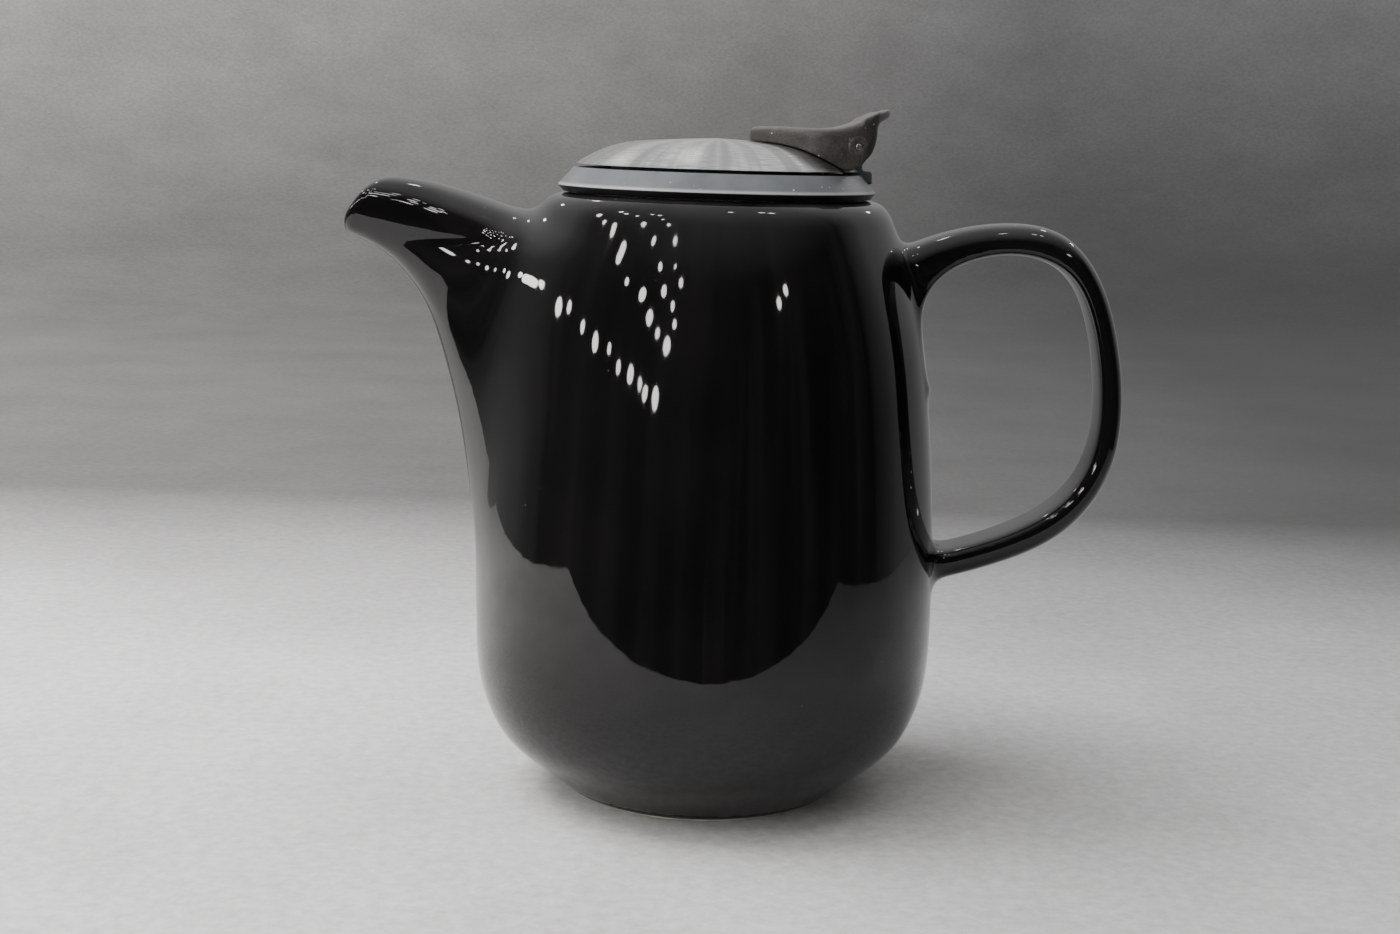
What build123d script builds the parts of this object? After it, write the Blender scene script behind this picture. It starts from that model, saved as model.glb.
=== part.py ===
"""Glazed ceramic teapot with a flip-top steel lid, a thumb lever and a lift-out infuser.

Frame: millimetres, +Z up, origin at the centre of the foot's resting plane.
The spout points along -X, the handle stands out along +X, and the lid is hinged about +Y.
"""
from build123d import *
import os

# --- pot body -----------------------------------------------------------------------------
FOOT_R = 36.0                   # outer radius of the unglazed foot ring
FOOT_H = 1.3                    # how far the foot ring stands below the glaze
RIM_Z = 162.6                   # top of the ceramic rim
RIM_R = 41.6                    # outer radius of the rim
NECK_R = 33.6                   # bore of the neck below the infuser seat
SEAT_R = 36.4                   # recess in the neck that takes the infuser flange
SEAT_Z = 160.0                  # height of that seat
BODY_OUTER = [                  # (radius, height) of the outer wall, foot to shoulder
    (37.8, 1.3), (45.9, 7.7), (53.2, 13.8), (58.5, 21.8), (61.5, 31.5), (62.5, 45.0),
    (62.3, 62.0), (61.4, 82.0), (59.6, 104.0), (57.0, 124.0), (53.2, 140.5), (48.6, 154.0),
]
BODY_INNER = [                  # (radius, height) of the inner wall, floor to neck
    (36.0, 6.9), (44.0, 10.4), (51.0, 17.2), (55.6, 26.5), (57.8, 38.0), (58.1, 52.0),
    (57.6, 70.0), (56.3, 90.0), (54.0, 110.0), (50.9, 127.0), (47.0, 141.0), (42.6, 152.0),
]

# --- spout --------------------------------------------------------------------------------
SPOUT_X = -45.0                 # centre of every oval section, inside the body wall
SPOUT_WALL = 4.0
SPOUT_OUTER = [                 # (height, reach beyond SPOUT_X, half width)
    (58.0, 16.4, 9.0), (70.0, 18.9, 12.0), (84.0, 20.9, 13.6), (98.0, 22.8, 14.8),
    (111.0, 25.4, 15.7), (123.0, 29.0, 16.4), (133.0, 33.2, 17.0), (141.0, 39.2, 17.4),
    (147.0, 47.0, 17.7), (152.5, 56.0, 18.0), (160.0, 61.0, 18.2), (172.0, 66.0, 18.4),
]
SPOUT_CAVITY_FROM = 3           # first section that is hollow
ROOF = 4.6                      # thickness of clay over the channel
SPOUT_TOP = [                   # (x, z) of the crest line, past the tip to inside the body
    (-112.0, 160.0), (-98.0, 163.4), (-86.0, 165.0), (-69.0, 162.3), (-51.0, 157.2), (-38.0, 155.0),
]
SPOUT_EDGE = 4.0                # rounding between the crest and the sides
MOUTH_LOW = (-100.2, 151.0)     # lower lip of the mouth
MOUTH_HIGH = (-90.0, 164.6)     # upper lip of the mouth

# --- handle -------------------------------------------------------------------------------
HANDLE_WIDTH = 19.0
HANDLE_OUTER = [                # (x, z) of the outer edge, upper root to lower root
    (42.0, 148.0), (58.9, 154.3), (79.1, 157.7), (92.9, 155.1), (102.2, 145.9), (108.8, 129.0),
    (111.8, 106.0), (106.8, 85.7), (95.1, 72.5), (77.4, 64.2), (56.0, 58.0),
]
HANDLE_INNER = [                # (x, z) of the finger side, lower root to upper root
    (56.0, 68.0), (71.7, 71.0), (87.0, 77.3), (99.2, 87.4), (104.4, 101.2), (104.3, 116.9),
    (101.0, 133.0), (94.4, 144.3), (85.0, 148.8), (70.4, 148.0), (60.4, 142.5), (54.4, 131.0),
]

# --- lid ring, gasket and hinge -----------------------------------------------------------
RING_EDGE = (42.4, 164.6)       # sharp widest edge of the ring
RING_BASE_Z = 162.9             # underside of the ring, just clear of the ceramic rim
RING_TOP_Z = 169.3
RING_TOP_R = 38.3
RING_BORE = 30.0                # filling opening
SKIRT_R = 32.2                  # skirt that centres the ring in the infuser
SKIRT_Z = 156.0
GASKET_R = 36.0
GASKET_Z = 160.9
HINGE_X = 36.1
HINGE_Z = 176.8
PIN_R = 0.85
PIN_LENGTH = 38.8
KNUCKLE_R = 2.3
KNUCKLE_WIDTH = 8.0
PLINTH = (33.5, 41.1, 170.4)    # knuckle foot: from x, to x, top height

# --- dome and liner -----------------------------------------------------------------------
DOME_Z = 170.1                  # rim of the dome
DOME_R = 37.7
DOME_T = 0.8                    # sheet thickness
DOME_OUTER = [(0.0, 177.8), (18.5, 176.8), (29.0, 174.9), (34.4, 172.4)]
LINER_R = 34.0
LINER_Z = 170.6
LINER_TOP = 171.9
PLUG_R = 28.4                   # plug of the liner that drops into the ring's bore
PLUG_Z = 166.2
NOTCH_X = 32.7                  # dome and liner are notched past here, around the knuckle
NOTCH_WIDTH = 8.9

# --- lever --------------------------------------------------------------------------------
LEVER_TOP = [                   # (x, z) of the upper edge, front to thumb tab
    (9.6, 181.3), (15.0, 181.5), (21.0, 181.3), (27.0, 181.1), (31.0, 181.6), (35.0, 182.8), (39.0, 184.6),
    (42.6, 186.5),
]
LEVER_TAIL = [                  # (x, z) round the tab, down the rear and under the hinge
    (44.4, 186.3), (45.3, 185.1), (41.7, 183.2), (41.0, 182.0), (40.9, 178.8), (40.3, 176.2),
    (39.3, 174.5), (38.2, 173.2), (37.3, 172.2), (34.2, 170.7), (31.5, 170.7),
]
LEVER_FRONT = (8.3, 179.4)
LEVER_PLAN = [                  # (x, half width) seen from above, between the nose and the end of the tab
    (9.7, 4.2), (12.3, 8.4), (15.6, 12.2), (19.2, 15.5), (23.2, 17.8), (28.0, 18.9), (34.0, 19.2),
    (38.0, 18.7), (41.2, 16.4), (43.6, 12.3), (45.0, 6.4),
]
LEVER_BACK = 45.4               # end of the thumb tab
LEVER_EDGE = 0.9                # rounding along the top
LEVER_ROOF = 179.3              # underside of the top wall
POCKET = [                      # (x, half width) of the hollow; the moulding is solid behind it
    (12.0, 3.0), (14.4, 6.8), (17.4, 10.3), (20.8, 13.2), (24.6, 15.2), (29.5, 16.4),
]
SLOT_WIDTH = 8.7                # slot in the lever that straddles the knuckle
SLOT_TOP = 179.6
SCREWS = [(14.0, 176.0, 180.2), (24.0, 174.3, 179.6)]   # x, boss top, tip of the screw
SCREW_R = 1.1
SCREW_HEAD_R = 2.2
SCREW_POST_R = 2.6              # posts inside the lever that take the screws

# --- infuser ------------------------------------------------------------------------------
SHEET = 0.5                     # steel sheet of the basket
COLLAR_R = 33.2                 # outer radius of the collar wall
FLANGE_R = 36.0
COLLAR_LOW = 150.0
MESH_TOP = 153.5
BASKET_Z = 64.0                 # underside of the basket
BASE_LIP = 5.0
HOLE_R = 0.9
HOLE_ROWS = 7
HOLES_ROUND = 20

# Side-view sketches sit on this plane, clear of the pot, and cut right across it.
SIDE = Plane.XZ.offset(-40)
ACROSS = 80.0

os.makedirs("parts", exist_ok=True)


def dome_profile(lift):
    """Close the curve of the dome, raised by lift, down to the hinge side's rim and the axis."""
    points = [(r, z + lift) for r, z in DOME_OUTER]
    edge = (DOME_R, DOME_Z + lift)
    Spline(*points, edge, tangents=[(1, 0), (0.62, -0.78)])
    return points[0], edge


def far_side(points):
    """The mirror image of a (x, half width) outline, walked back the other way."""
    return [(x, -y) for x, y in reversed(points)]


# --- outer form of the body, used to trim what joins it -----------------------------------
with BuildPart() as body_form:
    with BuildSketch(Plane.XZ):
        with BuildLine():
            wall = Spline(*BODY_OUTER)
            shoulder = Spline(wall @ 1, (45.6, 160.6), (RIM_R, RIM_Z), tangents=[wall % 1, (-1, 0.1)])
            Polyline(shoulder @ 1, (0, RIM_Z), (0, 1.3), wall @ 0)
        make_face()
    revolve(axis=Axis.Z)

with BuildPart() as spout_cavity:
    for height, reach, half_width in SPOUT_OUTER[SPOUT_CAVITY_FROM:]:
        with BuildSketch(Plane.XY.offset(height)):
            with Locations((SPOUT_X, 0)):
                Ellipse(reach - SPOUT_WALL, half_width - SPOUT_WALL)
    loft()
    with BuildSketch(SIDE):
        with BuildLine():
            roof = Spline(*[(x, z - ROOF) for x, z in SPOUT_TOP], tangents=[(1, 0.3), (1, 0)])
            Polyline(roof @ 1, (40.0, SPOUT_TOP[-1][1] - ROOF), (40.0, 200.0), (SPOUT_TOP[0][0], 200.0), roof @ 0)
        make_face()
    extrude(amount=ACROSS, mode=Mode.SUBTRACT)

# --- pot body -----------------------------------------------------------------------------
with BuildPart() as pot_body:
    add(body_form.part)
    with BuildSketch(Plane.XZ):
        with BuildLine():
            Polyline((0, 1.3), (0, 1.7), (33.2, 1.7), (33.8, 0), (35.4, 0), (FOOT_R, 0.6), (FOOT_R, FOOT_H),
                     (0, FOOT_H))
        make_face()
    revolve(axis=Axis.Z)
    with BuildSketch(Plane.XZ):
        with BuildLine():
            Polyline((0, 0), (0, 2.4), (31.6, 2.4), (33.4, 0), (0, 0))
        make_face()
    revolve(axis=Axis.Z, mode=Mode.SUBTRACT)
    with BuildSketch(Plane.XZ):
        with BuildLine():
            inside = Spline(*BODY_INNER)
            Polyline(inside @ 1, (NECK_R, 156.6), (NECK_R, SEAT_Z), (SEAT_R, SEAT_Z), (SEAT_R, RIM_Z + 1),
                     (0, RIM_Z + 1), (0, 6.4), (30.0, 6.4), inside @ 0)
        make_face()
    revolve(axis=Axis.Z, mode=Mode.SUBTRACT)
    add(spout_cavity.part, mode=Mode.SUBTRACT)

# --- spout --------------------------------------------------------------------------------
with BuildPart() as spout:
    for height, reach, half_width in SPOUT_OUTER:
        with BuildSketch(Plane.XY.offset(height)):
            with Locations((SPOUT_X, 0)):
                Ellipse(reach, half_width)
    loft()
    with BuildSketch(SIDE):
        with BuildLine():
            crest_line = Spline(*SPOUT_TOP, tangents=[(1, 0.3), (1, 0)])
            Polyline(crest_line @ 1, (40.0, SPOUT_TOP[-1][1]), (40.0, 200.0), (SPOUT_TOP[0][0], 200.0), crest_line @ 0)
        make_face()
    extrude(amount=ACROSS, mode=Mode.SUBTRACT)
    with Locations((SPOUT_X + 3, 0, 0)):
        Box(80, 80, 400, align=(Align.MIN, Align.CENTER, Align.CENTER), mode=Mode.SUBTRACT)
    crest = spout.edges().filter_by(lambda e: e.bounding_box().size.X > 45 and e.center().Z > 150)
    fillet(crest, SPOUT_EDGE)
    with BuildSketch(SIDE):
        with BuildLine():
            Polyline(MOUTH_LOW, (MOUTH_HIGH[0] + 3, MOUTH_HIGH[1] + 4), (-130, 180), (-130, 140), MOUTH_LOW)
        make_face()
    extrude(amount=ACROSS, mode=Mode.SUBTRACT)
    add(body_form.part, mode=Mode.SUBTRACT)
    add(spout_cavity.part, mode=Mode.SUBTRACT)

# --- handle -------------------------------------------------------------------------------
with BuildPart() as handle:
    with BuildSketch(Plane.XZ):
        with BuildLine():
            outer = Spline(*HANDLE_OUTER)
            inner = Spline(*HANDLE_INNER)
            Line(outer @ 1, inner @ 0)
            Line(inner @ 1, outer @ 0)
        make_face()
    extrude(amount=HANDLE_WIDTH / 2, both=True)
    long_edges = handle.edges().filter_by(lambda e: e.length > 100)
    fillet(long_edges.sort_by(SortBy.LENGTH)[-2:], 3.6)
    fillet(handle.edges().filter_by(lambda e: 100 < e.length).sort_by(SortBy.LENGTH)[:2], 1.8)
    add(body_form.part, mode=Mode.SUBTRACT)

# --- lid ring with its hinge knuckle ------------------------------------------------------
with BuildPart() as lid_ring:
    with BuildSketch(Plane.XZ):
        with BuildLine():
            Polyline((RING_BORE, SKIRT_Z), (SKIRT_R, SKIRT_Z), (SKIRT_R, RING_BASE_Z), (41.0, RING_BASE_Z),
                     RING_EDGE, (RING_TOP_R, RING_TOP_Z), (RING_BORE, RING_TOP_Z), (RING_BORE, SKIRT_Z))
        make_face()
    revolve(axis=Axis.Z)
    with BuildSketch(Plane.XZ):
        with Locations(((PLINTH[0] + PLINTH[1]) / 2, (166.5 + PLINTH[2]) / 2)):
            Rectangle(PLINTH[1] - PLINTH[0], PLINTH[2] - 166.5)
        with Locations((HINGE_X, (HINGE_Z + PLINTH[2] - 1) / 2)):
            Rectangle(2 * KNUCKLE_R, HINGE_Z - PLINTH[2] + 1)
        with Locations((HINGE_X, HINGE_Z)):
            Circle(KNUCKLE_R)
            Circle(PIN_R, mode=Mode.SUBTRACT)
    extrude(amount=KNUCKLE_WIDTH / 2, both=True)

with BuildPart() as lid_gasket:
    with BuildSketch(Plane.XZ):
        with BuildLine():
            Polyline((SKIRT_R, GASKET_Z), (GASKET_R - 0.3, GASKET_Z), (GASKET_R, GASKET_Z + 0.4),
                     (GASKET_R, RING_BASE_Z), (SKIRT_R, RING_BASE_Z), (SKIRT_R, GASKET_Z))
        make_face()
    revolve(axis=Axis.Z)

with BuildPart() as hinge_pin:
    with BuildSketch(Plane.XZ.offset(-PIN_LENGTH / 2)):
        with Locations((HINGE_X, HINGE_Z)):
            Circle(PIN_R)
    extrude(amount=PIN_LENGTH)
    fillet(hinge_pin.edges().filter_by(GeomType.CIRCLE), 0.3)

# --- dome and liner -----------------------------------------------------------------------
with BuildPart() as dome_form:
    with BuildSketch(Plane.XZ):
        with BuildLine():
            top, edge = dome_profile(0.0)
            Polyline(edge, (0, DOME_Z), top)
        make_face()
    revolve(axis=Axis.Z)

with BuildPart() as dome:
    add(dome_form.part)
    with BuildSketch(Plane.XZ):
        with BuildLine():
            top, edge = dome_profile(-DOME_T)
            Polyline(edge, (edge[0], DOME_Z - 2), (0, DOME_Z - 2), top)
        make_face()
    revolve(axis=Axis.Z, mode=Mode.SUBTRACT)
    with Locations((NOTCH_X + 5, 0, DOME_Z + 5)):
        Box(10, NOTCH_WIDTH, 14, mode=Mode.SUBTRACT)
    for x, boss_top, tip in SCREWS:
        with Locations((x, 0, boss_top)):
            Cylinder(SCREW_R, 8, mode=Mode.SUBTRACT)

with BuildPart() as dome_liner:
    with BuildSketch(Plane.XZ):
        with BuildLine():
            Polyline((0, LINER_Z), (PLUG_R - 2, LINER_Z), (PLUG_R - 2, PLUG_Z), (PLUG_R, PLUG_Z), (PLUG_R, LINER_Z),
                     (LINER_R, LINER_Z), (LINER_R, LINER_Z + 0.5), (LINER_R - 1.2, LINER_TOP), (0, LINER_TOP),
                     (0, LINER_Z))
        make_face()
    revolve(axis=Axis.Z)
    for x, boss_top, tip in SCREWS:
        with Locations((x, 0, LINER_TOP)):
            Cylinder(2.8, boss_top - LINER_TOP, align=(Align.CENTER, Align.CENTER, Align.MIN))
        with Locations((x, 0, LINER_Z - 1)):
            Cylinder(SCREW_R, 12, mode=Mode.SUBTRACT, align=(Align.CENTER, Align.CENTER, Align.MIN))
    with Locations((NOTCH_X - 0.6 + 5, 0, DOME_Z + 2)):
        Box(10, NOTCH_WIDTH, 14, mode=Mode.SUBTRACT)

# --- lever --------------------------------------------------------------------------------
with BuildPart() as lever:
    with BuildSketch(Plane.XZ):
        with BuildLine():
            upper = Spline(*LEVER_TOP)
            Polyline(upper @ 1, *LEVER_TAIL, (LEVER_FRONT[0], LEVER_TAIL[-1][1]), LEVER_FRONT, upper @ 0)
        make_face()
    extrude(amount=25, both=True)
    with BuildSketch(Plane.XY.offset(165)):
        with BuildLine():
            Spline((LEVER_FRONT[0], 0), *LEVER_PLAN, (LEVER_BACK, 0), *far_side(LEVER_PLAN), periodic=True)
        make_face()
    extrude(amount=30, mode=Mode.INTERSECT)
    top_edges = lever.edges().filter_by(lambda e: e.center().Z > 180.5 and e.bounding_box().size.X > 20)
    fillet(top_edges, LEVER_EDGE)
    with BuildSketch(Plane.XY.offset(165)):
        with BuildLine():
            Polyline(*POCKET, *far_side(POCKET), POCKET[0])
        make_face()
        for x, boss_top, tip in SCREWS:
            with Locations((x, 0)):
                Circle(SCREW_POST_R, mode=Mode.SUBTRACT)
    extrude(amount=LEVER_ROOF - 165, mode=Mode.SUBTRACT)
    with BuildSketch(Plane.XZ):
        with BuildLine():
            top, edge = dome_profile(0.12)
            Polyline(edge, (DOME_R + 0.4, 165), (0, 165), top)
        make_face()
    revolve(axis=Axis.Z, mode=Mode.SUBTRACT)
    with Locations((40.0, 0, SLOT_TOP)):
        Box(14.0, SLOT_WIDTH, 20, align=(Align.CENTER, Align.CENTER, Align.MAX), mode=Mode.SUBTRACT)
    with BuildSketch(SIDE):
        with Locations((HINGE_X, HINGE_Z)):
            Circle(PIN_R + 0.05)
    extrude(amount=ACROSS, mode=Mode.SUBTRACT)
    for x, boss_top, tip in SCREWS:
        with Locations((x, 0, tip - 10)):
            Cylinder(SCREW_R, 10, mode=Mode.SUBTRACT, align=(Align.CENTER, Align.CENTER, Align.MIN))

with BuildPart() as lever_screws:
    for x, boss_top, tip in SCREWS:
        with Locations((x, 0, LINER_Z - 1.4)):
            Cylinder(SCREW_HEAD_R, 1.4, align=(Align.CENTER, Align.CENTER, Align.MIN))
        with Locations((x, 0, LINER_Z)):
            Cylinder(SCREW_R, tip - LINER_Z, align=(Align.CENTER, Align.CENTER, Align.MIN))

# --- infuser ------------------------------------------------------------------------------
with BuildPart() as infuser_collar:
    with BuildSketch(Plane.XZ):
        with BuildLine():
            Polyline((COLLAR_R - SHEET, COLLAR_LOW), (COLLAR_R, COLLAR_LOW), (COLLAR_R, SEAT_Z), (FLANGE_R, SEAT_Z),
                     (FLANGE_R, SEAT_Z + 0.8), (COLLAR_R - SHEET, SEAT_Z + 0.8), (COLLAR_R - SHEET, COLLAR_LOW))
        make_face()
    revolve(axis=Axis.Z)

with BuildPart() as infuser_mesh:
    with BuildSketch(Plane.XY.offset(BASKET_Z + SHEET)):
        Circle(COLLAR_R - SHEET)
        Circle(COLLAR_R - 2 * SHEET, mode=Mode.SUBTRACT)
    extrude(amount=MESH_TOP - BASKET_Z - SHEET)
    pitch = (COLLAR_LOW - BASKET_Z - BASE_LIP) / (HOLE_ROWS + 1)
    for row in range(HOLE_ROWS):
        with Locations((0, 0, BASKET_Z + BASE_LIP + pitch * (row + 1))):
            with PolarLocations(0, HOLES_ROUND // 2, angular_range=180):
                Cylinder(HOLE_R, 80, rotation=(0, 90, 0), mode=Mode.SUBTRACT)

with BuildPart() as infuser_base:
    with BuildSketch(Plane.XY.offset(BASKET_Z)):
        Circle(COLLAR_R)
    extrude(amount=BASE_LIP)
    with BuildSketch(Plane.XY.offset(BASKET_Z + SHEET)):
        Circle(COLLAR_R - SHEET)
    extrude(amount=BASE_LIP, mode=Mode.SUBTRACT)
    for ring in range(1, 5):
        with BuildSketch(Plane.XY.offset(BASKET_Z)):
            with PolarLocations(ring * 6.2, 6 * ring):
                Circle(HOLE_R)
        extrude(amount=SHEET, mode=Mode.SUBTRACT)

# --- labels and files ---------------------------------------------------------------------
PIECES = {
    "pot_body": pot_body, "spout": spout, "handle": handle,
    "lid_ring": lid_ring, "lid_gasket": lid_gasket, "hinge_pin": hinge_pin,
    "dome": dome, "dome_liner": dome_liner, "lever": lever, "lever_screws": lever_screws,
    "infuser_collar": infuser_collar, "infuser_mesh": infuser_mesh, "infuser_base": infuser_base,
}
for name, piece in PIECES.items():
    piece.part.label = name
    export_step(piece.part, f"parts/{name}.step")
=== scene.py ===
"""Looks for the flip-top ceramic teapot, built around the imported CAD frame.

Lengths in the tables are millimetres in the CAD frame (foot centre at the origin, spout along -X).
"""
import math

import bpy
import numpy as np
from mathutils import Matrix, Vector


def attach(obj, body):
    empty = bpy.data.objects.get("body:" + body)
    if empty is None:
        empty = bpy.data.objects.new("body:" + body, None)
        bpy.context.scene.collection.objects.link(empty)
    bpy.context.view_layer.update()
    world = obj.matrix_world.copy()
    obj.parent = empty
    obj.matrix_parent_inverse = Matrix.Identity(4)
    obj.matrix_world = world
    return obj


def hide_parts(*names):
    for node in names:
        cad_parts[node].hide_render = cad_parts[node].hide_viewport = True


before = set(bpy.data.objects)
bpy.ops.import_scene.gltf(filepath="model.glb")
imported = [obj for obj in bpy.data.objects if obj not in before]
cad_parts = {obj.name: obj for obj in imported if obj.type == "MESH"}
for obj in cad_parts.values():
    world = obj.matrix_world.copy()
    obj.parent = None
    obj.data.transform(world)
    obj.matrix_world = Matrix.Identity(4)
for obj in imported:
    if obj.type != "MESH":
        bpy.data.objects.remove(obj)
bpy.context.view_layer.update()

MM = 0.001

# --- driving dimensions of the modelled pieces, millimetres ------------------------------------
POT_PITCH = 1.45
FINE_PITCH = 0.36
RIM_Z = 162.6
GLAZE_END = 2.5                 # the glazed mesh stops here, and the foot pieces carry on down
HOLLOW_TOP, NECK_R = 155.5, 33.7
FLANGE_SEAT, FLANGE_R = 159.8, 36.6
BODY_OUTER = [(1.3, 37.8), (7.7, 45.9), (13.8, 53.2), (21.8, 58.5), (31.5, 61.5), (45.0, 62.5), (62.0, 62.3),
              (82.0, 61.4), (104.0, 59.6), (124.0, 57.0), (140.5, 53.2), (154.0, 48.6), (162.6, 45.0)]
BODY_INNER = [(6.9, 36.0), (10.4, 44.0), (17.2, 51.0), (26.5, 55.6), (38.0, 57.8), (52.0, 58.1), (70.0, 57.6),
              (90.0, 56.3), (110.0, 54.0), (127.0, 50.9), (141.0, 47.0), (152.0, 42.6)]
SPOUT_FRONT = [(58.0, -61.0), (75.0, -63.4), (92.0, -66.0), (104.0, -68.2), (114.0, -70.9), (124.0, -74.2),
               (133.0, -78.2), (140.0, -83.3), (145.0, -88.8), (148.0, -94.4), (150.2, -100.2),
               (152.0, -105.0)]
SPOUT_CREST = [(-104.0, 164.2), (-94.0, 165.2), (-86.0, 165.2), (-76.6, 164.1), (-66.0, 161.5),
               (-54.4, 158.0), (-44.0, 155.6), (-34.0, 154.6)]
SPOUT_MOUTH = [(148.5, -100.2), (151.7, -99.7), (155.5, -98.5), (158.0, -96.8), (162.0, -93.4),
               (165.0, -89.8), (168.0, -85.0)]
SPOUT_HALF = [(-104.0, 8.0), (-96.0, 8.8), (-80.0, 12.2), (-60.0, 15.8), (-44.0, 17.4), (-30.0, 18.0)]
SPOUT_BLEND = [(50.0, 4.0), (70.0, 5.0), (95.0, 12.0), (115.0, 20.0), (138.0, 24.0), (150.0, 19.0),
               (157.0, 10.0), (170.0, 8.0)]
HANDLE_CENTRE = (66.0, 107.0)
HANDLE_OUTER = [(42.0, 145.0), (58.9, 153.9), (79.1, 157.7), (92.9, 155.1), (102.2, 145.9), (108.8, 129.0),
                (111.6, 106.0), (106.8, 85.7), (95.1, 72.5), (77.4, 64.2), (56.0, 59.5)]
HANDLE_INNER = [(54.4, 131.0), (60.4, 142.5), (70.4, 148.0), (85.0, 148.8), (94.4, 144.3), (101.0, 133.0),
                (104.3, 116.9), (104.4, 101.2), (99.2, 87.4), (87.0, 77.3), (71.7, 71.0), (56.0, 68.0)]
HINGE = (36.1, 176.8)
KNUCKLE_R = 2.3
DOME = [(0.0, 177.8), (18.5, 176.8), (29.0, 174.9), (34.4, 172.4), (37.7, 170.1), (41.0, 166.0)]
DOME_RIM, NOTCH_RIM, NOTCH_HALF = 37.7, 32.7, 4.45
DOME_UNDER = 170.1
LEVER_TOP = [(6.0, 180.9), (14.0, 181.4), (24.0, 181.2), (30.0, 181.5), (35.0, 182.8), (39.5, 184.9),
             (44.0, 187.4)]
LEVER_REAR = [(170.7, 34.2), (172.2, 37.2), (173.3, 38.1), (174.5, 39.2), (176.2, 40.2), (178.8, 40.9),
              (182.0, 41.1), (187.0, 41.3)]
LEVER_MIDDLE = (26.0, 0.0)
LEVER_PLAN = [(8.3, 0.0), (9.7, 4.2), (12.3, 8.4), (15.6, 12.2), (19.2, 15.5), (23.2, 17.8), (28.0, 18.9),
              (34.0, 19.2), (38.4, 18.9), (41.4, 16.6), (43.6, 12.3), (45.0, 6.4), (45.4, 0.0)]
LEVER_SIDE = 19.2
TAB_START, TAB_RUN, TAB_R = (38.4, 183.1), (5.7, 2.4), 1.15
SLOT_HALF, SLOT_TOP, SLOT_BACK = 4.35, 179.6, 33.2

# --- the part of the floor that shows in reflections, metres: left, front, right, back ---------
TABLE = (-0.48, -0.215, 0.44, 0.36)

# --- lamps on the ceiling: metres, and widths in degrees as seen from the pot ------------------
CEILING, LAMP_DISTANCE, LAMP_RADIANCE = 2.3, 2.0, 32
LAMP_ROWS = [                   # x, first y, last y, how many, width
    (-8.8, 1.6, -16.0, 12, 2.7),
    (-3.4, 0.0, -7.2, 9, 3.1),
    (-2.1, -0.3, -5.6, 9, 2.4),
    (-1.4, -1.0, -3.8, 7, 1.8),
]
LAMP_OTHERS = [(0.25, -0.6), (0.75, -0.4), (0.95, -0.4), (3.1, -3.3), (3.1, -3.9), (1.2, 2.4), (-1.3, 2.2),
               (-0.3, 1.6), (-3.2, 3.4), (2.8, 3.4)]


# --- curves and distances --------------------------------------------------------------------
def curve(points):
    """A natural cubic through (position, value) points, straight beyond its ends: gives value and slope."""
    x, y = np.array(sorted(points), float).T
    n, h = len(x), np.diff(x)
    a, b = np.eye(n), np.zeros(n)
    for i in range(1, n - 1):
        a[i, i - 1:i + 2] = h[i - 1], 2 * (h[i - 1] + h[i]), h[i]
        b[i] = 6 * ((y[i + 1] - y[i]) / h[i] - (y[i] - y[i - 1]) / h[i - 1])
    m = np.linalg.solve(a, b)

    def at(t):
        k = np.clip(np.searchsorted(x, t) - 1, 0, n - 2)
        d = np.clip(t, x[0], x[-1]) - x[k]
        first = (y[k + 1] - y[k]) / h[k] - h[k] * (2 * m[k] + m[k + 1]) / 6
        third = (m[k + 1] - m[k]) / h[k]
        slope = first + d * m[k] + d * d * third / 2
        value = y[k] + d * first + d * d * m[k] / 2 + d ** 3 * third / 6
        return value + slope * (t - np.clip(t, x[0], x[-1])), slope

    return at


def smin(a, b, k):
    """The smaller of two distances, blended smoothly over the width k."""
    h = np.maximum(k - np.abs(a - b), 0) / k
    return np.minimum(a, b) - h ** 3 * k / 6


def smax(a, b, k):
    """The larger of two distances, blended smoothly over the width k."""
    return -smin(-a, -b, k)


def beside(t, u, line):
    """Distance of (t, u) from the curve u = line(t), positive above it."""
    value, slope = line(t)
    return (u - value) / np.sqrt(1 + slope * slope)


def polar(points, centre):
    """A loop's points as (angle, radius) about a centre."""
    dx, dz = (np.array(points, float) - centre).T
    return list(zip(np.arctan2(dz, dx), np.hypot(dx, dz)))


def mirrored(points):
    """Half a loop as (angle, radius) from 0 to pi, with its mirror image added past both ends."""
    before = [(-a, r) for a, r in points if a > 0.01]
    after = [(2 * np.pi - a, r) for a, r in points if a < 3.13]
    return points + before + after


body_outer, body_inner = curve(BODY_OUTER), curve(BODY_INNER)
spout_front, spout_crest, spout_mouth = curve(SPOUT_FRONT), curve(SPOUT_CREST), curve(SPOUT_MOUTH)
spout_half, spout_blend = curve(SPOUT_HALF), curve(SPOUT_BLEND)
handle_outer, handle_inner = (curve(polar(loop, HANDLE_CENTRE)) for loop in (HANDLE_OUTER, HANDLE_INNER))
dome_line = curve(DOME)
lever_top, lever_rear = curve(LEVER_TOP), curve(LEVER_REAR)
lever_plan = curve(mirrored(polar(LEVER_PLAN, LEVER_MIDDLE)))


def spout_skin(x, y, z):
    """Distance from the outside of the spout, before its mouth is cut."""
    half = spout_half(x)[0]
    below = -beside(x, z, spout_crest)
    behind = beside(z, x, spout_front)
    top = np.clip(1 - below / (0.62 * half), 0, 2)
    nose = np.clip(1 - behind / (1.5 * half), 0, 2)
    q = (np.abs(y / half) ** 2.4 + top ** 2.4 + nose ** 2.4 + 1e-9) ** (1 / 2.4)
    return smax(smax((q - 1) * half * 0.62, x + 40, 2.0), 50 - z, 4.0)


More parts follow.
